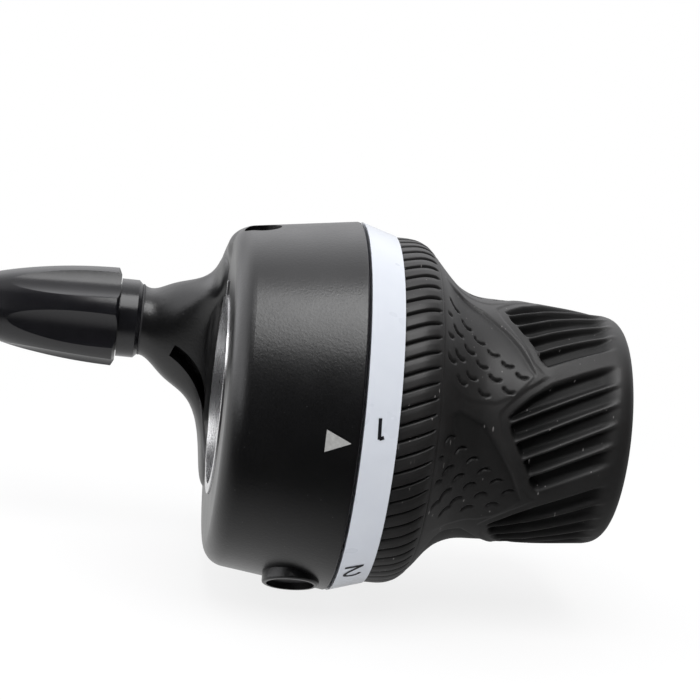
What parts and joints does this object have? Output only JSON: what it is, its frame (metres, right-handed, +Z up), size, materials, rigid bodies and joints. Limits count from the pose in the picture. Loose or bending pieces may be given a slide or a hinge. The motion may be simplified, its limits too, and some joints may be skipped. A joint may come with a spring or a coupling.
{
  "type": "twist grip shifter",
  "caption": "Left-hand twist grip gear shifter for a bicycle handlebar: round clamp housing, white number ring, ribbed rubber grip and a fluted cable adjuster.",
  "frame": {"origin": "on the handlebar's axis, in the plane of the housing's inboard face", "axes": "+X along the handlebar, outboard, towards the grip; +Z up, where the clamp screw is; the pointer faces -Y"},
  "size_m": [0.0819, 0.0467, 0.0458],
  "materials": {
    "housing_plastic": "satin moulded black plastic with a fine speckle",
    "sleeve_steel": "bright drawn steel",
    "insert_brass": "turned brass",
    "screw_steel": "zinc-plated steel",
    "plug_plastic": "dull black plastic",
    "washer_plastic": "natural acetal",
    "retainer_plastic": "black nylon",
    "spring_steel": "blued spring steel",
    "spool_plastic": "natural acetal",
    "index_plastic": "filled nylon",
    "small_screw_steel": "zinc-plated steel",
    "core_plastic": "black nylon",
    "ring_plastic": "glossy white plastic",
    "grip_rubber": "matt moulded rubber",
    "collar_plastic": "satin black plastic",
    "knob_plastic": "smooth black plastic",
    "bolt_steel": "zinc-plated steel",
    "coil_steel": "plain spring wire"
  },
  "bodies": {
    "housing": {"housing": "housing_plastic", "clamp_sleeve": "sleeve_steel", "clamp_insert": "insert_brass", "clamp_screw": "screw_steel", "port_plug": "plug_plastic", "thrust_washer": "washer_plastic", "retaining_ring": "retainer_plastic", "detent_spring": "spring_steel", "adjuster_collar": "collar_plastic"},
    "grip": {"grip_core": "core_plastic", "grip_rubber": "grip_rubber", "indicator_ring": "ring_plastic", "cable_spool": "spool_plastic", "index_ring": "index_plastic", "spool_screws": "small_screw_steel"},
    "adjuster_knob": {"adjuster_knob": "knob_plastic", "adjuster_bolt": "bolt_steel", "adjuster_spring": "coil_steel"}
  },
  "joints": [
    {"name": "grip_twist", "type": "hinge", "parent": "housing", "child": "grip", "pos_m": [0.02, 0, 0], "axis": [-1, 0, 0], "range_deg": [0, 110], "deforming": ["detent_spring"]},
    {"name": "adjuster_turn", "type": "hinge", "parent": "housing", "child": "adjuster_knob", "pos_m": [-0.012, 0.0175, 0.00502], "axis": [-1, 0, 0], "range_deg": [0, 1800]}
  ]
}
